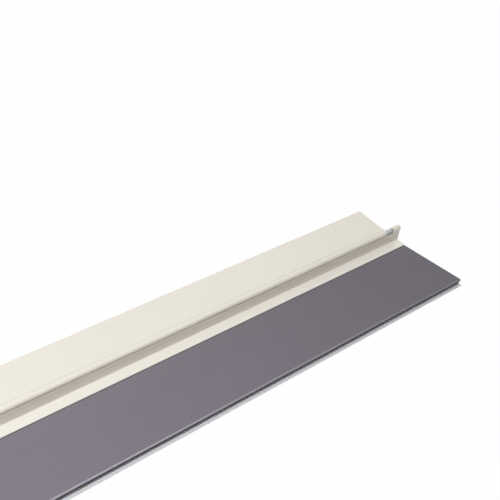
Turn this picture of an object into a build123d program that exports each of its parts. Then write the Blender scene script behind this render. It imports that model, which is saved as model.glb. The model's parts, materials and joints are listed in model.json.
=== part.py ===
from build123d import *
import os
from math import acos, atan2, cos, degrees, floor, hypot, radians, sin, tan

# Door bottom seal: a cream extruded mounting leaf, hinged on short pins to a cream
# extruded swing leaf that grips a wide soft flap. A torsion spring round each pin
# presses the flap to the floor. A thin pale lip is keyed under the flap's nose.
# X runs along the seal, +Y points to the back of the mounting leaf, +Z is up.
# The origin is on the floor, under the middle of the whole seal.

# Lengths along the seal
seal_length = 915.0
knuckle_length = 8.6
spring_space = 7.4
pin_grip_in_leaf = 14.0
pin_end_recess = 0.4

# Hinge line
tube_radius = 1.9
pin_radius = 0.9
pin_running_fit = 0.05
pin_chamfer = 0.2
hinge_height = 14.4
cradle_gap = 0.25
stop_gap = 0.3

# Mounting leaf
leaf_reach = 25.2
leaf_thickness = 1.5
leaf_tilt = 8.0
leaf_edge_round = 0.5
valley_behind_axis = 1.6
valley_width = 0.5
valley_depth = 0.25

# Swing leaf
wall_thickness = 1.5
wall_face_to_mouth = 6.8
wall_foot_round = 0.4
jaw_edge_thickness = 0.5
jaw_edge_round = 0.2
jaw_rise = 0.8
floor_jaw_thickness = 1.3
floor_jaw_setback = 0.5
heel_thickness = 1.4
end_heel_drop = 1.2

# Flap
flap_width = 49.8
flap_thickness = 2.7
flap_grip_depth = 4.8
bead_length = 1.8
bead_rise = 0.5
nose_round = 0.9
nose_face_height = 1.1
nose_face_round = 0.15
nose_undercut = 1.2
keel_length = 4.6
keel_slope_length = 4.0

# Floor lip, keyed under the flap's nose
lip_reach = 2.0
lip_thickness = 0.3
lip_tip_round = 0.12
lip_root_length = 4.0
key_behind_nose = 4.2
key_stem_width = 0.8
key_stem_height = 0.6
key_head_width = 1.8
key_head_height = 0.7

# Torsion springs, wound open for the quarter turn they gain, with fine flats for a round wire
wire_radius = 0.35
wire_flat_count = 8
coil_pin_gap = 0.1
coil_end_gap = 0.3
coil_turn_gap = 0.2
prong_depth = 4.0
prong_bend_radius = 0.6
prong_fit = 0.06
leg_root_overlap = 0.3
leaf_prong_reach = 3.4
heel_prong_radius = 2.6
heel_prong_angle = -50.0

# Places that follow from the sizes above
half_length = seal_length / 2
knuckle_face = half_length - knuckle_length
leaf_end = knuckle_face - spring_space
flap_underside = floor_jaw_thickness
flap_top = flap_underside + flap_thickness
leaf_underside = tube_radius - leaf_thickness
leaf_middle = tube_radius - leaf_thickness / 2
cradle_radius = tube_radius + cradle_gap
heel_radius = cradle_radius + heel_thickness
heel_reach = 2 * heel_radius
heel_top = (leaf_underside - stop_gap) / cos(radians(leaf_tilt))
jaw_top = flap_top + jaw_edge_thickness + jaw_rise

# Depths, with the origin midway between the lip's tip and the leaf's back edge
edge_centre_reach = leaf_reach - leaf_edge_round
edge_centre_height = leaf_underside + leaf_edge_round
edge_centre_depth = edge_centre_reach * cos(radians(leaf_tilt)) - edge_centre_height * sin(radians(leaf_tilt))
leaf_back = edge_centre_depth + leaf_edge_round
seal_depth = lip_reach + flap_width + wall_face_to_mouth + wall_thickness + leaf_back
lip_tip_y = -seal_depth / 2
nose_y = lip_tip_y + lip_reach
mouth_y = nose_y + flap_width
wall_face_y = mouth_y + wall_face_to_mouth
axis_y = wall_face_y + wall_thickness
grip_end_y = mouth_y + flap_grip_depth
keel_front_y = nose_y + nose_undercut
key_y = nose_y + key_behind_nose


def across(x):
    """Plane square to the seal at x, with Y to the right and Z up."""
    return Plane(origin=(x, 0, 0), x_dir=(0, 1, 0), z_dir=(1, 0, 0))


def across_hinge(x, turn=0.0):
    """Plane square to the seal at x, from the hinge axis, turned about it in degrees."""
    side = (0, cos(radians(turn)), sin(radians(turn)))
    return Plane(origin=(x, axis_y, hinge_height), x_dir=side, z_dir=(1, 0, 0))


def corner(sketch, y, z):
    """The sketch's corner nearest to a point."""
    return sketch.vertices().sort_by_distance((y, z))[0]


# Mounting leaf: a flat leaf tangent to the top of its hinge tube
with BuildPart() as mounting_leaf:
    with BuildSketch(across_hinge(-leaf_end, leaf_tilt)) as leaf_section:
        with Locations((leaf_reach / 2, leaf_middle)):
            Rectangle(leaf_reach, leaf_thickness)
        fillet(leaf_section.vertices().group_by(Axis.X)[-1], leaf_edge_round)
        Circle(tube_radius)
        with Locations((valley_behind_axis, tube_radius)):
            valley = [(-valley_width / 2, 0), (0, -valley_depth), (valley_width / 2, 0)]
            Polygon(*valley, align=None, mode=Mode.SUBTRACT)
        Circle(pin_radius + pin_running_fit, mode=Mode.SUBTRACT)
    extrude(amount=2 * leaf_end)
    for hole_start in (-leaf_end, leaf_end - prong_depth):
        with BuildSketch(across_hinge(hole_start, leaf_tilt)):
            with Locations((leaf_prong_reach, leaf_middle)):
                Circle(wire_radius + prong_fit)
        extrude(amount=prong_depth, mode=Mode.SUBTRACT)
mounting_leaf.part.label = "mounting_leaf"

# The flap's outline, which also cuts its socket in the swing leaf
flap_root = [
    (mouth_y - floor_jaw_setback, flap_underside),
    (grip_end_y, flap_underside),
    (grip_end_y, flap_top + bead_rise),
    (grip_end_y - bead_length, flap_top + bead_rise),
    (grip_end_y - bead_length, flap_top),
    (mouth_y - floor_jaw_setback, flap_top),
]

# Swing leaf: wall and two jaws along its whole length, a heel behind the wall that
# stops the mounting leaf, and at each end a knuckle with a lower heel for a spring's prong
with BuildPart() as swing_leaf:
    with BuildSketch(across(-half_length)) as jaw_section:
        jaw_outline = [
            (mouth_y + floor_jaw_setback, 0),
            (axis_y, 0),
            (axis_y, hinge_height),
            (wall_face_y, hinge_height),
            (wall_face_y, jaw_top),
            (mouth_y, flap_top + jaw_edge_thickness),
            (mouth_y, flap_top),
            (mouth_y + floor_jaw_setback, flap_top),
        ]
        Polygon(*jaw_outline, align=None)
        fillet(corner(jaw_section, wall_face_y, jaw_top), wall_foot_round)
        fillet(corner(jaw_section, mouth_y, flap_top + jaw_edge_thickness), jaw_edge_round)
        Polygon(*flap_root, align=None, mode=Mode.SUBTRACT)
        with Locations((axis_y, hinge_height)):
            Circle(cradle_radius, mode=Mode.SUBTRACT)
    extrude(amount=seal_length)

    stretches = [
        (-half_length, knuckle_length, -end_heel_drop, 0.0),
        (-leaf_end, 2 * leaf_end, heel_top, leaf_tilt),
        (knuckle_face, knuckle_length, -end_heel_drop, 0.0),
    ]
    for heel_start, heel_length, top_height, top_tilt in stretches:
        with BuildSketch(across_hinge(heel_start)):
            Circle(heel_radius)
            Circle(cradle_radius, mode=Mode.SUBTRACT)
            heel_quarter = [
                (0, top_height),
                (heel_reach, top_height + heel_reach * tan(radians(top_tilt))),
                (heel_reach, -heel_reach),
                (0, -heel_reach),
            ]
            Polygon(*heel_quarter, align=None, mode=Mode.INTERSECT)
        extrude(amount=heel_length)

    for knuckle_start in (-half_length, knuckle_face):
        with BuildSketch(across_hinge(knuckle_start)):
            Circle(tube_radius)
            with Locations((-wall_thickness, -cradle_radius)):
                Rectangle(wall_thickness + cradle_radius, cradle_radius, align=(Align.MIN, Align.MIN))
            Circle(pin_radius, mode=Mode.SUBTRACT)
        extrude(amount=knuckle_length)

    for hole_start in (-knuckle_face - prong_depth, knuckle_face):
        with BuildSketch(across_hinge(hole_start, heel_prong_angle)):
            with Locations((heel_prong_radius, 0)):
                Circle(wire_radius + prong_fit)
        extrude(amount=prong_depth, mode=Mode.SUBTRACT)
swing_leaf.part.label = "swing_leaf"

# The lip's key, which also cuts its slot in the flap
key_outline = [
    (key_y - key_stem_width / 2, lip_thickness),
    (key_y + key_stem_width / 2, lip_thickness),
    (key_y + key_stem_width / 2, lip_thickness + key_stem_height),
    (key_y + key_head_width / 2, lip_thickness + key_stem_height),
    (key_y + key_head_width / 2, lip_thickness + key_stem_height + key_head_height),
    (key_y - key_head_width / 2, lip_thickness + key_stem_height + key_head_height),
    (key_y - key_head_width / 2, lip_thickness + key_stem_height),
    (key_y - key_stem_width / 2, lip_thickness + key_stem_height),
]

# Flap: a soft sheet with a bead in the jaws, a rounded nose and a keel under it
with BuildPart() as flap:
    with BuildSketch(across(-half_length)) as flap_section:
        flap_outline = flap_root[1:5] + [
            (nose_y, flap_top),
            (nose_y, flap_top - nose_face_height),
            (keel_front_y, lip_thickness),
            (keel_front_y + keel_length, lip_thickness),
            (keel_front_y + keel_length + keel_slope_length, flap_underside),
        ]
        Polygon(*flap_outline, align=None)
        fillet(corner(flap_section, nose_y, flap_top), nose_round)
        fillet(corner(flap_section, nose_y, flap_top - nose_face_height), nose_face_round)
        Polygon(*key_outline, align=None, mode=Mode.SUBTRACT)
    extrude(amount=seal_length)
flap.part.label = "flap"

# Floor lip: a thin strip that lies on the floor and reaches out past the nose
with BuildPart() as floor_lip:
    with BuildSketch(across(-half_length)) as lip_section:
        with Locations((lip_tip_y, 0)):
            lip_width = lip_reach + nose_undercut + lip_root_length
            Rectangle(lip_width, lip_thickness, align=(Align.MIN, Align.MIN))
        fillet(corner(lip_section, lip_tip_y, lip_thickness), lip_tip_round)
        Polygon(*key_outline, align=None)
    extrude(amount=seal_length)
floor_lip.part.label = "floor_lip"

# Hinge pins: pressed into the end knuckles and running in the mounting leaf's tube
pin_length = half_length - pin_end_recess - leaf_end + pin_grip_in_leaf
with BuildPart() as pin_far:
    with BuildSketch(across_hinge(leaf_end - pin_grip_in_leaf)):
        Circle(pin_radius)
    extrude(amount=pin_length)
    chamfer(pin_far.edges().filter_by(GeomType.CIRCLE), pin_chamfer)
pin_far.part.label = "pin_far"

# Torsion springs: each coil has a prong in the mounting leaf and one in the heel
coil_radius = pin_radius + coil_pin_gap + wire_radius
coil_start = leaf_end + coil_end_gap + wire_radius
coil_end = knuckle_face - coil_end_gap - wire_radius

# Each leg is tangent to the coil, so it leaves at this angle from the hinge axis
leaf_prong_angle = leaf_tilt + degrees(atan2(leaf_middle, leaf_prong_reach))
leaf_prong_radius = hypot(leaf_prong_reach, leaf_middle)
start_angle = leaf_prong_angle + degrees(acos(coil_radius / leaf_prong_radius))
end_angle = heel_prong_angle - degrees(acos(coil_radius / heel_prong_radius))
part_turn = (end_angle - start_angle) / 360 % 1
whole_turns = floor((coil_end - coil_start) / (2 * wire_radius + coil_turn_gap) - part_turn)
coil_pitch = (coil_end - coil_start) / (whole_turns + part_turn)


def from_axis(x, radius, angle):
    """Point at x, at a radius and an angle in degrees about the hinge axis."""
    return Vector(x, axis_y + radius * cos(radians(angle)), hinge_height + radius * sin(radians(angle)))


def leg_points(face_x, coil_x, prong_radius, prong_angle, coil_angle):
    """The bends of a leg, from its prong's tip past a face to just inside the coil's wire."""
    tip = from_axis(face_x, prong_radius, prong_angle)
    bend = from_axis(coil_x, prong_radius, prong_angle)
    root = from_axis(coil_x, coil_radius, coil_angle)
    return [tip, bend, root + (root - bend).normalized() * leg_root_overlap]


leaf_leg = leg_points(leaf_end - prong_depth, coil_start, leaf_prong_radius, leaf_prong_angle, start_angle)
heel_leg = leg_points(knuckle_face + prong_depth, coil_end, heel_prong_radius, heel_prong_angle, end_angle)

with BuildLine() as coil_line:
    Helix(coil_pitch, coil_end - coil_start, coil_radius)
coil_path = across_hinge(coil_start, start_angle).from_local_coords(coil_line.line)

with BuildPart() as spring_far:
    with BuildSketch(Plane(origin=coil_path @ 0, z_dir=coil_path % 0)):
        RegularPolygon(wire_radius, wire_flat_count)
    sweep(path=coil_path, is_frenet=True)
    for leg in (leaf_leg, heel_leg):
        with BuildLine() as leg_line:
            FilletPolyline(*leg, radius=prong_bend_radius)
        with BuildSketch(Plane(origin=leg_line.line @ 0, z_dir=leg_line.line % 0)):
            RegularPolygon(wire_radius, wire_flat_count)
        sweep(path=leg_line.line)
spring_far.part.label = "spring_far"

# The near end is the mirror image of the far end
with BuildPart() as pin_near:
    add(pin_far.part.mirror(Plane.YZ))
pin_near.part.label = "pin_near"

with BuildPart() as spring_near:
    add(spring_far.part.mirror(Plane.YZ))
spring_near.part.label = "spring_near"

os.makedirs("parts", exist_ok=True)
export_step(mounting_leaf.part, "parts/mounting_leaf.step")
export_step(swing_leaf.part, "parts/swing_leaf.step")
export_step(flap.part, "parts/flap.step")
export_step(floor_lip.part, "parts/floor_lip.step")
export_step(pin_far.part, "parts/pin_far.step")
export_step(pin_near.part, "parts/pin_near.step")
export_step(spring_far.part, "parts/spring_far.step")
export_step(spring_near.part, "parts/spring_near.step")
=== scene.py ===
import json
from math import acos, atan2, ceil, cos, hypot, pi, radians, sin, tau

import bmesh
import bpy
from bpy.props import FloatProperty, FloatVectorProperty, IntProperty, PointerProperty
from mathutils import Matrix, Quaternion, Vector


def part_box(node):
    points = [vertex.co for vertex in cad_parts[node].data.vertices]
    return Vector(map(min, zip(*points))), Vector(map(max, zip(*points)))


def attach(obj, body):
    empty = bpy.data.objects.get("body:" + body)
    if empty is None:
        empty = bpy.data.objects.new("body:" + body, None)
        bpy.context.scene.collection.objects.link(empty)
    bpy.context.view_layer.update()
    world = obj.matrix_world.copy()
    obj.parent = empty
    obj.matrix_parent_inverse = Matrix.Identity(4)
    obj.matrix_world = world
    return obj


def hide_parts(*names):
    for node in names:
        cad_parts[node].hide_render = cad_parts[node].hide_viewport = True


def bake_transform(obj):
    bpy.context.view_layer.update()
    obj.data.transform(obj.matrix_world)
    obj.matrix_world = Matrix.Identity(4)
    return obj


bl_info = {
    "name": "Door bottom seal",
    "version": (1, 0, 0),
    "blender": (4, 5, 0),
    "location": "View3D > Sidebar > Door Seal",
    "description": "Dresses a hinged door bottom seal: leaves, soft flap, floor lip, pins and springs",
    "category": "Object",
}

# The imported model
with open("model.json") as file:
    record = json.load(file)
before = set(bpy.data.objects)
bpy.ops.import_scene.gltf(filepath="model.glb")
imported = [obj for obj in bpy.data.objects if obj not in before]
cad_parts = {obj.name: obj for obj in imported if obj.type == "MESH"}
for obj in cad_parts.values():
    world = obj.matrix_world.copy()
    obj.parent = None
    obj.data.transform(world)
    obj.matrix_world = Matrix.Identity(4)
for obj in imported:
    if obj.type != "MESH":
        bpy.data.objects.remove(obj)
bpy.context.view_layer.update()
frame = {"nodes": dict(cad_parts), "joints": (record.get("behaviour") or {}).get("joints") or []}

MM = 0.001
WHITE = (1.0, 1.0, 1.0, 1.0)

# The hinge line, from the record
HINGE = Vector(frame["joints"][0]["pos_m"])

# Cells of each noise in a metre, given once or along the seal, across it and up
COAT_DRIFT = (9, 40, 40)
SAW_MARKS = (400, 300, 6000)
FLAP_STREAKS = (1.2, 900, 900)
FLAP_CLOUDS = (14, 45, 45)
LIP_STREAKS = (2.5, 1200, 1200)
LIP_CLOUDS = (30, 90, 90)
PIN_RINGS = (9000, 500, 500)
PIN_STAINS = 900
WIRE_BLOOM = 700
WIRE_MARKS = 6000

# How far a face turns one way, from 0 to 1, before it counts as such
END_FACING = 0.5
WALL_FACING = 0.9
RIM_FACING = 0.15
BEVEL_FORWARD = 0.5
BEVEL_DOWN = 0.2

# Waves along the seal: part of the height, length in metres, start, and skew in radians a metre across
SHEET_WAVES = ((0.55, 0.31, 0.7, 0), (0.45, 0.127, 2.1, 22))
TIP_WAVES = ((0.3, 0.19, 1.0, 0), (0.2, 0.043, 0.4, 0))
TIP_LIFT = 0.5

# Part of the free sheet over which its ripple grows
RIPPLE_GROWTH = 0.6

# Turns over which the coil starts and ends level
LEVEL_TURNS = 0.12

# Nearest that the camera sees, in metres
NEAR_CLIP = 0.01


# Shader sums and nodes


class Value:
    """A number in a shader that can be used in Python sums."""

    def __init__(self, nodes, socket):
        self.nodes = nodes
        self.socket = socket

    def math(self, operation, *terms):
        return self.nodes.node("ShaderNodeMath", {"operation": operation}, dict(enumerate(terms)))

    def __add__(self, other):
        return self.math("ADD", self, other)

    def __radd__(self, other):
        return self.math("ADD", other, self)

    def __sub__(self, other):
        return self.math("SUBTRACT", self, other)

    def __rsub__(self, other):
        return self.math("SUBTRACT", other, self)

    def __mul__(self, other):
        return self.math("MULTIPLY", self, other)

    def __rmul__(self, other):
        return self.math("MULTIPLY", other, self)

    def __gt__(self, other):
        return self.math("GREATER_THAN", self, other)

    def __lt__(self, other):
        return self.math("LESS_THAN", self, other)

    def __or__(self, other):
        return self.math("MAXIMUM", self, other)

    def __ror__(self, other):
        return self.math("MAXIMUM", other, self)

    def __abs__(self):
        return self.math("ABSOLUTE", self)


class Nodes:
    """The nodes of one finish or of the sky, made by calls and sums."""

    def __init__(self, owner):
        self.owner = owner
        owner.use_nodes = True
        self.tree = owner.node_tree
        self.tree.nodes.clear()

    def node(self, kind, settings=None, sockets=None, out=0):
        """Adds a node with its settings, fills its sockets, and gives one of its outputs."""
        made = self.tree.nodes.new(kind)
        for name, value in (settings or {}).items():
            setattr(made, name, value)
        for key, value in (sockets or {}).items():
            if isinstance(value, Value):
                self.tree.links.new(value.socket, made.inputs[key])
            else:
                made.inputs[key].default_value = value
        return Value(self, made.outputs[out]) if made.outputs else None

    def place(self):
        """Where a point of the surface lies, in metres."""
        return self.node("ShaderNodeTexCoord", out="Object")

    def parts(self, vector):
        """A vector's parts along the seal, across it and up."""
        return [self.node("ShaderNodeSeparateXYZ", sockets={0: vector}, out=axis) for axis in "XYZ"]

    def shift(self, vector, step):
        """A vector moved by a step."""
        return self.node("ShaderNodeVectorMath", {"operation": "ADD"}, {0: vector, 1: step})

    def distance(self, parts):
        """Length of a vector given by its parts."""
        joined = self.node("ShaderNodeCombineXYZ", sockets=dict(zip("XYZ", parts)))
        return self.node("ShaderNodeVectorMath", {"operation": "LENGTH"}, {0: joined}, out="Value")

    def facing(self):
        """How far the surface faces along the seal, across it and up."""
        return self.parts(self.node("ShaderNodeTexCoord", out="Normal"))

    def noise(self, vector, cells, detail=2.0):
        """Noise of so many cells a metre, given once or along, across and up."""
        if isinstance(cells, tuple):
            vector = self.node("ShaderNodeVectorMath", {"operation": "MULTIPLY"}, {0: vector, 1: cells})
            cells = 1.0
        sockets = {"Vector": vector, "Scale": cells, "Detail": detail}
        return self.node("ShaderNodeTexNoise", sockets=sockets)

    def fade(self, value, start, end):
        """0 where a value is at its start, rising to 1 at its end."""
        return self.node("ShaderNodeMapRange", sockets={0: value, 1: start, 2: end})

    def mix(self, amount, first, second):
        """A colour between two colours, the second where the amount is 1."""
        return self.node("ShaderNodeMix", {"data_type": "RGBA"}, {0: amount, 6: first, 7: second}, out=2)

    def bump(self, height, depth):
        """The surface's direction with a relief of a depth."""
        sockets = {"Height": height, "Strength": 1.0, "Distance": depth}
        return self.node("ShaderNodeBump", sockets=sockets)

    def seen(self):
        """1 for what the camera sees, straight, in metal or through glass."""
        rays = ("Is Camera Ray", "Is Glossy Ray", "Is Transmission Ray")
        camera, glossy, through = [self.node("ShaderNodeLightPath", out=ray) for ray in rays]
        return camera | glossy | through

    def surface(self, shader):
        """Ends a material with a shader."""
        self.node("ShaderNodeOutputMaterial", sockets={"Surface": shader})
        return self.owner

    def plastic(self, **sockets):
        """Ends a material with one shader whose sockets are named with _ for a space."""
        named = {name.replace("_", " "): value for name, value in sockets.items()}
        return self.surface(self.node("ShaderNodeBsdfPrincipled", sockets=named))


def new_finish(name):
    """The empty nodes of a new material."""
    return Nodes(bpy.data.materials.new(name))


def colour(rgb, strength=1.0):
    """A colour for a socket, darkened or paled by a strength."""
    return (*(part * strength for part in rgb), 1.0)


def swing(noise, spread):
    """A noise made to swing evenly over and under nothing."""
    return spread * (noise - 0.5)


# Finishes of the pieces


def coat_finish(name, coat):
    """Satin powder coat with a fine orange peel, and bare sawn metal at the cut ends."""
    finish = new_finish(name)
    place = finish.place()
    along, across = finish.facing()[:2]
    lengthwise, back, height = finish.parts(finish.shift(place, -HINGE))
    sawn = abs(along) > END_FACING

    # Slow drift of the cream, and how it leans towards the ends, on the wall, where it is a pinker
    # painted shade, and on the jaws
    drift = finish.noise(place, COAT_DRIFT, detail=3)
    towards_end = finish.fade(abs(lengthwise), coat.warm_start, coat.warm_end)
    # Painted shade: the front-facing wall takes a pinker, darker cream for the shade it lies in
    on_wall = across < -WALL_FACING
    on_jaws = finish.fade(back, -coat.jaw_start, -coat.jaw_end)
    cream = finish.mix(drift, colour(coat.colour), colour(coat.colour, coat.shade))
    for amount, other in (
        (towards_end, coat.end_colour),
        (on_wall, coat.wall_shade_tint),
        (on_jaws, coat.jaw_colour),
    ):
        cream = finish.mix(coat.lean * amount, cream, colour(other))

    # Painted light by the tube, and painted shade in the leaf's groove
    # Painted light: the coat is paler in the tube's cradle and up the tube's front, lifting the shade in
    # the gap and brightening the tube
    near_hinge = finish.fade(finish.distance((0.0, back, height)), coat.cradle_fade, coat.cradle_radius)
    painted_light_by_tube = near_hinge * finish.fade(height, coat.painted_light_height, -coat.cradle_depth)
    behind = cos(coat.leaf_tilt) * back + sin(coat.leaf_tilt) * height
    # Painted shade: the coat is darker along the leaf's groove, where shade falls
    in_groove = finish.fade(abs(behind - coat.groove_place), coat.groove_width, 0.0) * (height > 0.0)
    with_painted_light = finish.mix(painted_light_by_tube, cream, colour(coat.colour, coat.cradle_painted_light))
    painted = finish.mix(in_groove, with_painted_light, colour(coat.colour, coat.groove_painted_shade))

    # Relief of the coat and of the saw cut
    peel = finish.noise(place, 1 / coat.peel_size, detail=1)
    wave = finish.noise(place, 1 / coat.wave_size, detail=1)
    saw_mark = finish.noise(place, SAW_MARKS)
    relief = (1 - sawn) * (peel + coat.wave_height * wave) + coat.saw_height * sawn * saw_mark
    uneven = swing(drift, coat.drift_sheen) + swing(peel, coat.peel_sheen) - coat.sawn_sheen * sawn
    return finish.plastic(
        Base_Color=finish.mix(sawn, painted, colour(coat.metal)),
        Metallic=sawn,
        Roughness=coat.roughness + uneven,
        Normal=finish.bump(relief, coat.peel_depth),
    )


def flap_finish(name, flap):
    """Smooth matt soft sheet with faint drawing streaks along it, and a duller cut at its ends."""
    finish = new_finish(name)
    place = finish.place()
    along, across, up = finish.facing()
    lengthwise, depth = finish.parts(place)[:2]
    cut = abs(along) > END_FACING
    rim = (across < -RIM_FACING) * (up > RIM_FACING)
    bevel_facing = (across < -BEVEL_FORWARD) * (up < -BEVEL_DOWN)
    towards_end = finish.fade(abs(lengthwise), flap.painted_shade_start, flap.painted_shade_end)
    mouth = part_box("flap")[1].y - flap.grip
    by_jaw = depth > mouth - flap.mouth_line

    # Colour of the sheet, with painted shade towards its ends, a painted highlight on its rim, painted
    # shade on the bevel under the nose and a painted shadow along the jaw
    streak = finish.noise(place, FLAP_STREAKS, detail=3)
    cloud = finish.noise(place, FLAP_CLOUDS, detail=3)
    tone = flap.streak_share * streak + (1 - flap.streak_share) * cloud
    middle = finish.mix(tone, colour(flap.colour), colour(flap.colour, flap.shade))
    # Painted shade: the sheet darkens towards its ends, where the light falls off
    sheet = finish.mix(towards_end, middle, colour(flap.colour, flap.end_painted_shade))
    # Painted highlight: the nose's rounded upper edge is paler, fading towards the ends
    with_painted_highlight = finish.mix(rim * (1 - towards_end), sheet, colour(flap.colour, flap.rim_painted_highlight))
    # Painted shade: the bevel under the nose is darker, for the shade it lies in
    painted_under_nose = finish.mix(bevel_facing, with_painted_highlight, colour(flap.colour, flap.bevel_painted_shade))
    # Painted shadow: a darker line along the jaw's edge, where the jaw shades the sheet
    skin = finish.mix(by_jaw, painted_under_nose, colour(flap.colour, flap.mouth_painted_shadow))

    # Relief and sheen of the skin
    grain = finish.noise(place, 1 / flap.grain_size)
    uneven = swing(streak, flap.streak_sheen) + swing(cloud, flap.cloud_sheen)
    duller = flap.cut_sheen * cut + flap.bevel_sheen * bevel_facing
    return finish.plastic(
        Base_Color=finish.mix(flap.cut_share * cut, skin, colour(flap.cut_colour)),
        Roughness=flap.roughness + uneven + duller,
        Normal=finish.bump(grain + flap.streak_height * streak, flap.grain_depth),
        Specular_IOR_Level=flap.gloss,
        Coat_Weight=rim * flap.rim_gloss,
        Coat_Roughness=flap.rim_roughness,
    )


def lip_finish(name, lip):
    """Pale milky strip, darker at its tip, where it thins, with painted light under the nose that lifts
    the nose's shadow on it.
    """
    finish = new_finish(name)
    place = finish.place()
    depth = finish.parts(place)[1]
    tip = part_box("floor_lip")[0].y
    towards_tip = finish.fade(depth, tip + lip.tip_band, tip)
    streak = finish.noise(place, LIP_STREAKS)
    cloud = finish.noise(place, LIP_CLOUDS)
    # Painted light: the strip is paler under the nose, lifting the nose's shadow on it
    painted_under_nose = finish.fade(depth, tip + lip.under_nose_light_start, tip + lip.under_nose_light_end)
    body = finish.mix(cloud, colour(lip.colour), colour(lip.colour, lip.shade))
    lip_with_painted_light = finish.mix(painted_under_nose, body, colour(lip.under_nose_light_colour))
    return finish.plastic(
        Base_Color=finish.mix(towards_tip, lip_with_painted_light, colour(lip.tip_colour)),
        Roughness=lip.roughness + swing(streak, lip.streak_sheen) + swing(cloud, lip.cloud_sheen),
        Normal=finish.bump(streak, lip.streak_depth),
    )


def pin_finish(name, pin):
    """Turned bright steel with fine rings round the pin."""
    finish = new_finish(name)
    place = finish.place()
    ring = finish.noise(place, PIN_RINGS)
    stain = finish.noise(place, PIN_STAINS, detail=3)
    return finish.plastic(
        Base_Color=finish.mix(stain, colour(pin.colour), colour(pin.colour, pin.shade)),
        Metallic=1.0,
        Roughness=pin.roughness + swing(ring, pin.ring_sheen),
        Normal=finish.bump(ring, pin.ring_depth),
    )


def spring_finish(name, spring):
    """Zinc-plated wire with a faint bloom and drawing marks."""
    finish = new_finish(name)
    place = finish.place()
    bloom = finish.noise(place, WIRE_BLOOM, detail=3)
    mark = finish.noise(place, WIRE_MARKS)
    return finish.plastic(
        Base_Color=finish.mix(bloom, colour(spring.colour), colour(spring.colour, spring.shade)),
        Metallic=spring.metallic,
        Roughness=spring.roughness + swing(bloom, spring.bloom_sheen) + swing(mark, spring.mark_sheen),
        Normal=finish.bump(mark, spring.mark_depth),
    )


def floor_finish(name, stage):
    """Plain pale floor that shows white to the camera and keeps a share of the seal's shadow."""
    finish = new_finish(name)
    lit = finish.node("ShaderNodeBsdfDiffuse", sockets={"Color": colour(stage.floor_colour)})
    white = finish.node("ShaderNodeEmission", sockets={"Color": WHITE, "Strength": 1.0})
    whiteness = stage.floor_white * finish.seen()
    return finish.surface(finish.node("ShaderNodeMixShader", sockets={0: whiteness, 1: lit, 2: white}))


def soft_sky(name, stage):
    """Even light all round, which the camera sees as plain white."""
    sky = Nodes(bpy.data.worlds.new(name))
    strength = stage.sky + (1 - stage.sky) * sky.seen()
    light = sky.node("ShaderNodeBackground", sockets={"Color": WHITE, "Strength": strength})
    sky.node("ShaderNodeOutputWorld", sockets={"Surface": light})
    return sky.owner


# Shapes


def rounded(corners, step=radians(12)):
    """Closed outline of (y, z) points from corners given as (y, z, radius)."""
    outline = []
    for corner, (y, z, radius) in enumerate(corners):
        here = Vector((y, z))
        before = Vector(corners[corner - 1][:2]) - here
        after = Vector(corners[(corner + 1) % len(corners)][:2]) - here
        if radius == 0:
            outline.append(here)
            continue
        before.normalize()
        after.normalize()
        half = acos(max(-1.0, min(1.0, before.dot(after)))) / 2
        centre = here + (before + after).normalized() * (radius / sin(half))
        reach = radius * cos(half) / sin(half)
        first = here + before * reach - centre
        last = here + after * reach - centre
        turn = first.angle_signed(last)
        steps = max(2, ceil(abs(turn) / step))
        for k in range(steps + 1):
            across, up = cos(turn * k / steps), -sin(turn * k / steps)
            spun = (first.x * across - first.y * up, first.x * up + first.y * across)
            outline.append(centre + Vector(spun))
    return outline


def stations(low, high, spacing):
    """Even places along the seal."""
    count = ceil((high - low) / spacing)
    return [low + (high - low) * k / count for k in range(count + 1)]


def within(value):
    """A value kept from 0 to 1."""
    return max(0.0, min(1.0, value))


def waves(x, y, parts):
    """Sum of waves along the seal, each given by its part of the height, length, start and skew."""
    return sum(part * sin(tau * x / length + start + skew * y) for part, length, start, skew in parts)


def joined(bm, rings):
    """Faces between one ring of points and the next, with a closed face at each end."""
    count = len(rings[0])
    for near, far in zip(rings, rings[1:]):
        for k in range(count):
            after = (k + 1) % count
            bm.faces.new((near[k], near[after], far[after], far[k]))
    bm.faces.new(rings[0])
    bm.faces.new(list(reversed(rings[-1])))


def new_piece(name, bm, material, sharp=radians(32)):
    """A finished mesh object with smooth shading and crisp corners."""
    bmesh.ops.recalc_face_normals(bm, faces=bm.faces)
    mesh = bpy.data.meshes.new(name)
    bm.to_mesh(mesh)
    bm.free()
    mesh.shade_smooth()
    mesh.set_sharp_from_angle(angle=sharp)
    mesh.materials.append(material)
    piece = bpy.data.objects.new(name, mesh)
    bpy.context.scene.collection.objects.link(piece)
    return piece


def drawn(name, outline, places, material, lift):
    """A section carried along the seal, lifted a little from place to place, with closed ends."""
    bm = bmesh.new()
    joined(bm, [[bm.verts.new((x, p.x, p.y + lift(x, p.x, p.y))) for p in outline] for x in places])
    return new_piece(name, bm, material)


def wire(name, line, radius, sides, material):
    """A round wire along a line of points, with closed ends."""
    bm = bmesh.new()
    onward, backward = [*line[1:], line[-1]], [line[0], *line[:-1]]
    directions = [(after - before).normalized() for before, after in zip(backward, onward)]
    turns = [tau * k / sides for k in range(sides)]
    side = directions[0].orthogonal().normalized()
    rings = []
    for middle, last, direction in zip(line, [directions[0], *directions], directions):
        side = last.rotation_difference(direction) @ side
        side = (side - direction * side.dot(direction)).normalized()
        other = direction.cross(side)
        ring = [middle + radius * (cos(turn) * side + sin(turn) * other) for turn in turns]
        rings.append([bm.verts.new(corner) for corner in ring])
    joined(bm, rings)
    return new_piece(name, bm, material, sharp=radians(60))


# Settings that a user would change, each made by a helper that knows its unit


def in_mm(name, description, value):
    """A length given in millimetres."""
    return FloatProperty(
        name=name, description=description, default=value * MM, unit="LENGTH", precision=5
    )


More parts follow.
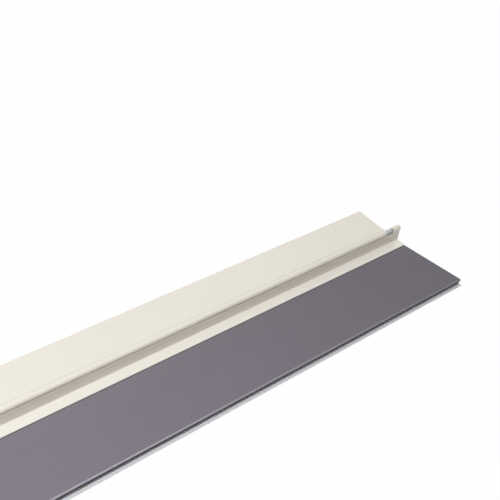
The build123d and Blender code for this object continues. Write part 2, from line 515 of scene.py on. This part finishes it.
def in_metres(name, description, value):
    """A place given in metres along the seal, across it and up."""
    return FloatVectorProperty(
        name=name,
        description=description,
        default=value,
        subtype="TRANSLATION",
        unit="LENGTH",
        precision=5,
    )


def two_sides(name, description, value):
    """A lamp's width and depth, given in metres."""
    return FloatVectorProperty(name=name, description=description, default=value, size=2, unit="LENGTH")


def in_degrees(name, description, value):
    """An angle given in degrees."""
    return FloatProperty(name=name, description=description, default=radians(value), subtype="ANGLE")


def in_watts(name, description, value):
    """A lamp's power."""
    return FloatProperty(name=name, description=description, default=value, min=0.0, unit="POWER")


def share(name, description, value):
    """A part of a whole, or a multiple up to three."""
    return FloatProperty(
        name=name, description=description, default=value, min=0.0, max=3.0, subtype="FACTOR"
    )


def tint(name, description, value):
    """A colour in plain red, green and blue."""
    return FloatVectorProperty(
        name=name, description=description, default=value, min=0.0, max=1.0, subtype="COLOR"
    )


class SealCoat(bpy.types.PropertyGroup):
    colour: tint("Coat colour", "Cream of the powder coat", (0.785, 0.750, 0.664))
    shade: share("Coat drift", "How much of the colour the slowly drifting darker places keep", 0.965)
    end_colour: tint("End colour", "Warmer cream of the leaves' ends", (0.772, 0.722, 0.618))
    # Painted shade tint for the front-facing wall
    wall_shade_tint: tint("Wall colour", "Slightly pinker cream of the upright wall", (0.785, 0.728, 0.655))
    jaw_colour: tint("Jaw colour", "Slightly cooler cream of the jaws", (0.768, 0.750, 0.705))
    jaw_start: in_mm("Jaw start", "How far before the hinge line the jaws' tone starts", 1.6)
    jaw_end: in_mm("Jaw end", "How far before the hinge line the jaws' tone is whole", 2.8)
    warm_start: in_mm("Warm start", "Where the coat starts to get warmer, from its middle", 240)
    warm_end: in_mm("Warm end", "Where the coat is warmest, from its middle", 440)
    roughness: share("Coat roughness", "Satin of the powder coat", 0.42)
    # Painted light by the tube: the paler coat lifts the shade in the cradle gap and under the tube, and
    # brightens the tube's front
    cradle_painted_light: share("Cradle shade", "How much paler the coat is where the tube rubs", 1.25)
    cradle_radius: in_mm("Cradle radius", "How far from the hinge line the paler coat is even", 2.3)
    cradle_fade: in_mm("Cradle fade", "How far from the hinge line the paler coat ends", 4.4)
    cradle_depth: in_mm("Cradle depth", "How far under the hinge line the coat is palest", 0.6)
    painted_light_height: in_mm("Rub height", "How far over the hinge line the tube's front gets paler", 1.3)
    groove_place: in_mm("Groove place", "Distance of the leaf's groove behind the hinge line", 1.6)
    # The groove's darker coat is painted shade in the leaf's groove
    groove_width: in_mm("Groove shadow", "How far the dirt in the groove spreads", 0.5)
    groove_painted_shade: share("Groove shade", "How much of the colour the dirty groove keeps", 0.92)
    leaf_tilt: in_degrees("Leaf tilt", "Tilt of the leaf against the flap", 8)
    peel_size: in_mm("Peel size", "Spacing of the fine orange peel", 0.45)
    wave_size: in_mm("Wave size", "Spacing of the slower waves in the coat", 2.6)
    peel_depth: in_mm("Peel depth", "Depth of the orange peel", 0.006)
    lean: share("Lean", "How far the coat goes to its warmer, pinker and cooler creams", 0.5)
    drift_sheen: share("Drift sheen", "How much the drift changes the roughness", 0.1)
    peel_sheen: share("Peel sheen", "How much the orange peel changes the roughness", 0.08)
    sawn_sheen: share("Sawn sheen", "How much smoother the sawn metal is than the coat", 0.06)
    wave_height: share("Wave height", "Height of the slower waves beside the peel's", 2.5)
    saw_height: share("Saw mark height", "Height of the saw marks beside the peel's", 1.5)
    metal: tint("Sawn metal", "Bare metal at the sawn ends", (0.62, 0.63, 0.64))


class SealFlap(bpy.types.PropertyGroup):
    colour: tint("Flap colour", "Taupe grey of the soft flap", (0.213, 0.195, 0.228))
    cut_colour: tint("Cut colour", "Duller grey of the flap's cut ends", (0.15, 0.14, 0.15))
    shade: share("Flap drift", "How much of the colour the darker streaks keep", 0.90)
    roughness: share("Flap roughness", "Sheen of the flap's skin", 0.55)
    rim_gloss: share("Rim gloss", "Gloss of the nose's rounded upper edge", 1.0)
    rim_roughness: share("Rim roughness", "Sheen of the nose's rounded upper edge", 0.20)
    # Painted highlight on the nose's rounded upper edge
    rim_painted_highlight: share("Rim shade", "How much paler the nose's rounded upper edge is", 1.6)
    gloss: share("Flap gloss", "Strength of the flap's reflections", 0.08)
    # Painted shade on the bevel under the nose
    bevel_painted_shade: share("Shelter shade", "How much of the colour the bevel under the nose keeps", 0.2)
    # Painted shade towards the flap's ends, where the light falls off
    end_painted_shade: share("End shade", "How much of the colour the flap keeps at its ends", 0.78)
    painted_shade_start: in_mm("Drift start", "Where the flap starts to darken, from its middle", 120)
    painted_shade_end: in_mm("Drift end", "Where the flap is darkest, from its middle", 420)
    # Painted shadow along the jaw's edge
    mouth_painted_shadow: share("Mouth shade", "How much of the colour the line along the jaw keeps", 0.35)
    mouth_line: in_mm("Mouth line", "Width of the darker line along the jaw", 0.5)
    streak_share: share("Streak share", "How much of the flap's drift is in streaks", 0.35)
    streak_sheen: share("Streak sheen", "How much the streaks change the roughness", 0.12)
    cloud_sheen: share("Cloud sheen", "How much the clouds change the roughness", 0.1)
    cut_sheen: share("Cut sheen", "How much duller the cut ends are", 0.15)
    cut_share: share("Cut share", "How much of the cut colour the cut ends take", 0.4)
    bevel_sheen: share("Shelter sheen", "How much duller the bevel under the nose is", 0.3)
    streak_height: share("Streak height", "Height of the streaks beside the grain's", 0.6)
    grain_size: in_mm("Grain size", "Spacing of the fine skin grain", 0.7)
    grain_depth: in_mm("Grain depth", "Depth of the skin grain and streaks", 0.005)
    thickness: in_mm("Flap thickness", "Thickness of the sheet", 2.7)
    grip: in_mm("Grip depth", "How far the flap goes into the jaws", 4.8)
    bead_length: in_mm("Bead length", "Length of the bead in the jaws", 1.8)
    bead_rise: in_mm("Bead rise", "Height of the bead over the sheet", 0.5)
    nose_round: in_mm("Nose round", "Radius of the nose's upper edge", 0.9)
    nose_height: in_mm("Nose height", "Height of the nose's upright face", 1.1)
    nose_foot: in_mm("Nose foot round", "Radius under the nose's face", 0.15)
    undercut: in_mm("Undercut", "How far the keel stands back from the nose", 1.2)
    keel: in_mm("Keel length", "Flat foot of the keel", 4.6)
    keel_slope: in_mm("Keel slope", "Length of the slope behind the keel", 4.0)
    keel_front: in_mm("Keel front round", "Radius at the front of the keel's foot", 0.12)
    keel_back: in_mm("Keel back round", "Radius at the back of the keel's foot", 1.0)
    slope_round: in_mm("Slope round", "Radius where the slope meets the sheet", 3.0)
    ripple: in_mm("Ripple", "Height of the slow ripple of the sheet", 0.07)
    still: in_mm("Still strip", "How far before the jaws the sheet is still", 2.0)
    spacing: in_mm("Station spacing", "Distance between the mesh's sections", 6.0)


class SealLip(bpy.types.PropertyGroup):
    colour: tint("Lip colour", "Pale milky grey of the lip", (0.63, 0.64, 0.67))
    tip_colour: tint("Lip tip colour", "Darker tip of the lip, where it thins", (0.60, 0.61, 0.64))
    shade: share("Lip drift", "How much of the colour the darker places keep", 0.93)
    roughness: share("Lip roughness", "Sheen of the lip", 0.38)
    # Painted light on the lip under the nose, lifting the nose's shadow
    under_nose_light_colour: tint("Clean colour", "Paler clean strip under the nose", (0.90, 0.91, 0.93))
    under_nose_light_start: in_mm("Clean start", "Where the strip gets cleaner, from its tip", 1.2)
    under_nose_light_end: in_mm("Clean end", "Where the strip is cleanest, from its tip", 2.4)
    tip_band: in_mm("Tip band", "Width of the darker band at the tip", 1.2)
    streak_depth: in_mm("Streak depth", "Depth of the drawing streaks", 0.004)
    streak_sheen: share("Streak sheen", "How much the streaks change the roughness", 0.14)
    cloud_sheen: share("Cloud sheen", "How much the clouds change the roughness", 0.08)
    thickness: in_mm("Lip thickness", "Thickness of the strip", 0.3)
    tip_round: in_mm("Tip round", "Radius of the tip's upper edge", 0.12)
    foot_round: in_mm("Foot round", "Radius of the strip's lower edges", 0.06)
    reach: in_mm("Lip reach", "How far the lip stands out past the nose", 2.0)
    key_place: in_mm("Key place", "Distance of the key behind the nose", 4.2)
    key_stem: in_mm("Key stem", "Width of the key's stem", 0.8)
    key_stem_height: in_mm("Key stem height", "Height of the key's stem", 0.6)
    key_head: in_mm("Key head", "Width of the key's head", 1.8)
    key_head_height: in_mm("Key head height", "Height of the key's head", 0.7)
    ripple: in_mm("Ripple", "How far the tip lifts here and there", 0.10)
    loose: in_mm("Loose strip", "Width of the strip at the tip that lifts", 1.5)


class SealPin(bpy.types.PropertyGroup):
    colour: tint("Pin colour", "Bright steel", (0.62, 0.63, 0.65))
    shade: share("Pin stain", "How much of the colour the stained places keep", 0.86)
    roughness: share("Pin roughness", "Sheen of the turned steel", 0.30)
    ring_sheen: share("Ring sheen", "How much the turning marks change the roughness", 0.18)
    ring_depth: in_mm("Ring depth", "Depth of the turning marks", 0.003)
    radius: in_mm("Pin radius", "Radius of the hinge pins", 0.9)


class SealSpring(bpy.types.PropertyGroup):
    colour: tint("Wire colour", "Zinc-plated spring wire", (0.59, 0.61, 0.63))
    shade: share("Wire bloom", "How much of the colour the bloomed places keep", 0.84)
    metallic: share("Wire metal", "How metallic the dull plating looks", 0.15)
    roughness: share("Wire roughness", "Sheen of the plated wire", 0.55)
    bloom_sheen: share("Bloom sheen", "How much the bloom changes the roughness", 0.2)
    mark_sheen: share("Mark sheen", "How much the drawing marks change the roughness", 0.1)
    mark_depth: in_mm("Mark depth", "Depth of the drawing marks", 0.002)
    wire_radius: in_mm("Wire radius", "Radius of the spring wire", 0.35)
    pin_gap: in_mm("Coil gap", "Clearance between the coil and its pin", 0.1)
    end_gap: in_mm("End gap", "Clearance at each end of the coil", 0.3)
    turn_gap: in_mm("Turn gap", "Least clearance between turns", 0.2)
    knuckle: in_mm("Knuckle length", "Length of the end knuckles", 8.6)
    prong: in_mm("Prong depth", "How far each leg goes into its hole", 4.0)
    bend: in_mm("Bend radius", "Radius of the legs' bends", 0.6)
    leaf_reach: in_mm("Leaf hole reach", "Distance of the leaf's hole behind the axis", 3.4)
    leaf_height: in_mm("Leaf hole height", "Height of the leaf's hole over the axis", 1.15)
    heel_radius: in_mm("Heel hole radius", "Distance of the heel's hole from the axis", 2.6)
    heel_angle: in_degrees("Heel hole angle", "Angle of the heel's hole about the axis", -50)
    sides: IntProperty(name="Wire sides", description="Sides of the wire's mesh", default=16, min=8)
    turn_steps: IntProperty(
        name="Steps a turn", description="Points in each turn of the coil", default=44, min=16
    )


class SealStage(bpy.types.PropertyGroup):
    floor_colour: tint("Floor colour", "Pale floor", (0.78, 0.78, 0.78))
    floor_white: share("Floor white", "Share of the floor that shows plain white", 0.98)
    floor_size: in_mm("Floor size", "Side of the floor", 8000)
    floor_drop: in_mm("Floor drop", "Hair's breadth between the floor and the seal", 0.02)
    sky: share("Sky light", "Strength of the even light all round", 0.12)
    overhead_power: in_watts("Overhead power", "Power of the overhead light", 3.95)
    overhead_place: in_metres("Overhead place", "Where the overhead light hangs", (-0.04, -0.03, 0.64))
    overhead_aim: in_metres("Overhead aim", "Where the overhead light points", (0.18, 0.0, 0.0))
    overhead_size: two_sides("Overhead size", "Width and depth of the overhead light", (0.12, 0.6))
    front_fill_power: in_watts("Fill power", "Power of the soft light from the front", 1.0)
    front_fill_place: in_metres("Fill place", "Where the front light hangs", (-0.10, -0.74, 0.30))
    front_fill_aim: in_metres("Fill aim", "Where the front light points", (0.10, 0.0, 0.0))
    front_fill_size: two_sides("Fill size", "Width and depth of the front light", (0.4, 0.3))
    nose_glint_power: in_watts("Glint power", "Power of the light that picks out the nose's edge", 1.15)
    nose_glint_place: in_metres("Glint place", "Where the glint light hangs", (0.72, -0.58, 0.74))
    nose_glint_aim: in_metres("Glint aim", "Where the glint light points", (0.20, -0.04, 0.0))
    nose_glint_size: two_sides("Glint size", "Width and depth of the glint light", (0.08, 0.10))
    far_sheen_power: in_watts("Sheen power", "Power of the light that gives the far end its sheen", 1.2)
    far_sheen_place: in_metres("Sheen place", "Where the sheen light hangs", (1.05, 0.28, 0.60))
    far_sheen_aim: in_metres("Sheen aim", "Where the sheen light points", (0.40, 0.03, 0.0))
    far_sheen_size: two_sides("Sheen size", "Width and depth of the sheen light", (0.4, 0.4))
    camera_place: in_metres("Camera place", "Where the camera stands", (-0.17213, -0.35408, 0.42610))
    camera_turn: in_degrees("Camera turn", "Azimuth of the view", -51.589)
    camera_dip: in_degrees("Camera dip", "How far the view looks down", 32.060)
    camera_roll: in_degrees("Camera roll", "Roll of the view", 10.901)
    lens: FloatProperty(name="Lens", description="Focal length of the lens", default=85.0, unit="CAMERA")


# Pieces and stage


def dress(node, material):
    """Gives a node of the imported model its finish."""
    slots = frame["nodes"][node].data.materials
    slots.clear()
    slots.append(material)


class SEAL_OT_coat(bpy.types.Operator):
    """Give the two metal extrusions their cream powder coat"""

    bl_idname = "seal.coat"
    bl_label = "Coat the leaves"

    def execute(self, context):
        for node in ("mounting_leaf", "swing_leaf"):
            dress(node, coat_finish("coat_" + node, context.scene.seal_coat))
        return {"FINISHED"}


class SEAL_OT_flap(bpy.types.Operator):
    """Make the wide soft flap, with its rounded nose, keel and bead"""

    bl_idname = "seal.flap"
    bl_label = "Make the flap"

    def execute(self, context):
        flap = context.scene.seal_flap
        lip = context.scene.seal_lip
        low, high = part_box("flap")
        nose, end = low.y, high.y
        mouth = end - flap.grip
        top = high.z - flap.bead_rise
        under = top - flap.thickness
        foot = low.z
        keel = nose + flap.undercut
        key = nose + lip.key_place
        stem_top = foot + lip.key_stem_height
        head_top = stem_top + lip.key_head_height
        corners = [
            (nose, top, flap.nose_round),
            (end - flap.bead_length, top, 0),
            (end - flap.bead_length, high.z, 0),
            (end, high.z, 0),
            (end, under, 0),
            (keel + flap.keel + flap.keel_slope, under, flap.slope_round),
            (keel + flap.keel, foot, flap.keel_back),
            (key + lip.key_stem / 2, foot, 0),
            (key + lip.key_stem / 2, stem_top, 0),
            (key + lip.key_head / 2, stem_top, 0),
            (key + lip.key_head / 2, head_top, 0),
            (key - lip.key_head / 2, head_top, 0),
            (key - lip.key_head / 2, stem_top, 0),
            (key - lip.key_stem / 2, stem_top, 0),
            (key - lip.key_stem / 2, foot, 0),
            (keel, foot, flap.keel_front),
            (nose, top - flap.nose_height, flap.nose_foot),
        ]

        def ripple(x, y, z):
            """Slow ripple of the sheet's top, still where the jaws hold it."""
            free = within((mouth - flap.still - y) / (RIPPLE_GROWTH * (mouth - nose)))
            upper = within((z - under) / (top - under))
            return flap.ripple * free * free * (3 - 2 * free) * upper * upper * waves(x, y, SHEET_WAVES)

        piece = drawn(
            "flap_sheet",
            rounded(corners),
            stations(low.x, high.x, flap.spacing),
            flap_finish("flap_skin", flap),
            ripple,
        )
        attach(piece, "swing")
        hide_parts("flap")
        return {"FINISHED"}


class SEAL_OT_lip(bpy.types.Operator):
    """Make the thin pale lip that lies on the floor under the flap's nose"""

    bl_idname = "seal.lip"
    bl_label = "Make the floor lip"

    def execute(self, context):
        lip = context.scene.seal_lip
        low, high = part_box("floor_lip")
        tip, back = low.y, high.y
        key = tip + lip.reach + lip.key_place
        stem_top = lip.thickness + lip.key_stem_height
        head_top = stem_top + lip.key_head_height
        corners = [
            (tip, 0, lip.foot_round),
            (tip, lip.thickness, lip.tip_round),
            (key - lip.key_stem / 2, lip.thickness, 0),
            (key - lip.key_stem / 2, stem_top, 0),
            (key - lip.key_head / 2, stem_top, 0),
            (key - lip.key_head / 2, head_top, 0),
            (key + lip.key_head / 2, head_top, 0),
            (key + lip.key_head / 2, stem_top, 0),
            (key + lip.key_stem / 2, stem_top, 0),
            (key + lip.key_stem / 2, lip.thickness, 0),
            (back, lip.thickness, 0),
            (back, 0, lip.foot_round),
        ]

        def ripple(x, y, z):
            """The tip lifts off the floor a little here and there."""
            free = within((tip + lip.loose - y) / lip.loose)
            return lip.ripple * free * free * (TIP_LIFT + waves(x, y, TIP_WAVES))

        piece = drawn(
            "floor_lip_strip",
            rounded(corners),
            stations(low.x, high.x, context.scene.seal_flap.spacing),
            lip_finish("lip_skin", lip),
            ripple,
        )
        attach(piece, "swing")
        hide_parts("floor_lip")
        return {"FINISHED"}


class SEAL_OT_pins(bpy.types.Operator):
    """Give the hinge pins their turned steel"""

    bl_idname = "seal.pins"
    bl_label = "Finish the pins"

    def execute(self, context):
        steel = pin_finish("pin_steel", context.scene.seal_pin)
        for node in ("pin_far", "pin_near"):
            dress(node, steel)
        return {"FINISHED"}


def from_axis(x, radius, turn):
    """Point at x, at a radius and a turn about the hinge line."""
    return Vector((x, HINGE.y + radius * cos(turn), HINGE.z + radius * sin(turn)))


def bent_leg(tip, bend, root, radius, steps=8):
    """A leg's points, from its prong's tip round a square bend to the coil."""
    inward = (tip - bend).normalized()
    onward = (root - bend).normalized()
    centre = bend + radius * (inward + onward)
    halfway = tip.lerp(bend + inward * radius, 0.5)
    turns = [pi / 2 * k / steps for k in range(steps + 1)]
    bent = [centre - radius * (cos(turn) * onward + sin(turn) * inward) for turn in turns]
    return [tip, halfway, *bent]


def spring_line(spring, pin_radius, leaf_tilt):
    """The far spring's middle line, from prong to prong, and where its coil starts and ends."""
    leaf_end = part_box("mounting_leaf")[1].x
    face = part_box("swing_leaf")[1].x - spring.knuckle
    radius = pin_radius + spring.pin_gap + spring.wire_radius
    first_x = leaf_end + spring.end_gap + spring.wire_radius
    last_x = face - spring.end_gap - spring.wire_radius
    leaf_angle = leaf_tilt + atan2(spring.leaf_height, spring.leaf_reach)
    leaf_radius = hypot(spring.leaf_reach, spring.leaf_height)
    first = leaf_angle + acos(radius / leaf_radius)
    last = spring.heel_angle - acos(radius / spring.heel_radius)
    part = (last - first) / tau % 1
    turns = part + int((last_x - first_x) / (2 * spring.wire_radius + spring.turn_gap) - part)
    level = LEVEL_TURNS / turns

    def advance(wound):
        """How far along the coil a part of its turns is, level where the legs leave."""
        if wound < level:
            return wound * wound / (2 * level * (1 - level))
        if wound > 1 - level:
            return 1 - advance(1 - wound)
        return (wound - level / 2) / (1 - level)

    coil = []
    steps = ceil(turns * spring.turn_steps)
    for k in range(steps + 1):
        x = first_x + (last_x - first_x) * advance(k / steps)
        coil.append(from_axis(x, radius, first + tau * turns * k / steps))
    leaf_leg = bent_leg(
        from_axis(leaf_end - spring.prong, leaf_radius, leaf_angle),
        from_axis(first_x, leaf_radius, leaf_angle),
        coil[0],
        spring.bend,
    )
    heel_leg = bent_leg(
        from_axis(face + spring.prong, spring.heel_radius, spring.heel_angle),
        from_axis(last_x, spring.heel_radius, spring.heel_angle),
        coil[-1],
        spring.bend,
    )
    return leaf_leg + coil + list(reversed(heel_leg)), first_x, last_x


class SEAL_OT_springs(bpy.types.Operator):
    """Make the two torsion springs, which on the real seal wind up as the hinge opens"""

    bl_idname = "seal.springs"
    bl_label = "Make the springs"

    def execute(self, context):
        spring = context.scene.seal_spring
        pin_radius, leaf_tilt = context.scene.seal_pin.radius, context.scene.seal_coat.leaf_tilt
        line, first_x, last_x = spring_line(spring, pin_radius, leaf_tilt)
        plated = spring_finish("spring_steel", spring)
        for node, side in (("spring_far", 1), ("spring_near", -1)):
            mirrored = [Vector((side * p.x, p.y, p.z)) for p in line]
            piece = wire(node + "_wire", mirrored, spring.wire_radius, spring.sides, plated)
            start = (side * first_x, HINGE.y, HINGE.z)
            end = (side * last_x, HINGE.y, HINGE.z)
            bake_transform(piece)
            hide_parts(node)
        return {"FINISHED"}


def hung(name, lamp_or_camera, place, direction, roll=0.0):
    """A lamp or camera at a place, looking one way, with its top up before it rolls."""
    hanging = bpy.data.objects.new(name, lamp_or_camera)
    hanging.location = place
    hanging.rotation_mode = "QUATERNION"
    hanging.rotation_quaternion = direction.to_track_quat("-Z", "Y") @ Quaternion((0, 0, 1), roll)
    bpy.context.scene.collection.objects.link(hanging)
    return hanging


class SEAL_OT_stage(bpy.types.Operator):
    """Set the pale floor, the soft lights and the camera"""

    bl_idname = "seal.stage"
    bl_label = "Set the stage"

    def execute(self, context):
        scene = context.scene
        stage = scene.seal_stage
        scene.view_settings.view_transform = "Standard"

        bm = bmesh.new()
        bmesh.ops.create_grid(bm, x_segments=1, y_segments=1, size=stage.floor_size / 2)
        bmesh.ops.translate(bm, verts=bm.verts, vec=(0, 0, -stage.floor_drop))
        floor = new_piece("floor", bm, floor_finish("floor_pale", stage))

        scene.world = soft_sky("soft_sky", stage)
        for name in ("overhead", "front_fill", "nose_glint", "far_sheen"):
            lamp = bpy.data.lights.new(name, "AREA")
            lamp.shape = "RECTANGLE"
            lamp.size, lamp.size_y = getattr(stage, name + "_size")
            lamp.energy = getattr(stage, name + "_power")
            place = Vector(getattr(stage, name + "_place"))
            hung(name, lamp, place, Vector(getattr(stage, name + "_aim")) - place)

        camera = bpy.data.cameras.new("view")
        camera.lens = stage.lens
        camera.clip_start = NEAR_CLIP
        turn, dip = stage.camera_turn, stage.camera_dip
        forward = Vector((-sin(turn) * cos(dip), cos(turn) * cos(dip), -sin(dip)))
        scene.camera = hung("view", camera, stage.camera_place, forward, stage.camera_roll)
        return {"FINISHED"}


STEPS = (SEAL_OT_stage, SEAL_OT_coat, SEAL_OT_flap, SEAL_OT_lip, SEAL_OT_pins, SEAL_OT_springs)


class SEAL_PT_panel(bpy.types.Panel):
    """Lists the pieces of the door bottom seal"""

    bl_idname = "SEAL_PT_panel"
    bl_label = "Door bottom seal"
    bl_space_type = "VIEW_3D"
    bl_region_type = "UI"
    bl_category = "Door Seal"

    def draw(self, context):
        for step in STEPS:
            self.layout.operator(step.bl_idname)


GROUPS = {
    "seal_coat": SealCoat,
    "seal_flap": SealFlap,
    "seal_lip": SealLip,
    "seal_pin": SealPin,
    "seal_spring": SealSpring,
    "seal_stage": SealStage,
}


def register():
    for group in (*GROUPS.values(), *STEPS, SEAL_PT_panel):
        bpy.utils.register_class(group)
    for name, group in GROUPS.items():
        setattr(bpy.types.Scene, name, PointerProperty(type=group))


def unregister():
    for name in GROUPS:
        delattr(bpy.types.Scene, name)
    for group in reversed((*GROUPS.values(), *STEPS, SEAL_PT_panel)):
        bpy.utils.unregister_class(group)


def main():
    register()
    for step in STEPS:
        family, name = step.bl_idname.split(".")
        getattr(getattr(bpy.ops, family), name)()


if __name__ == "__main__":
    main()
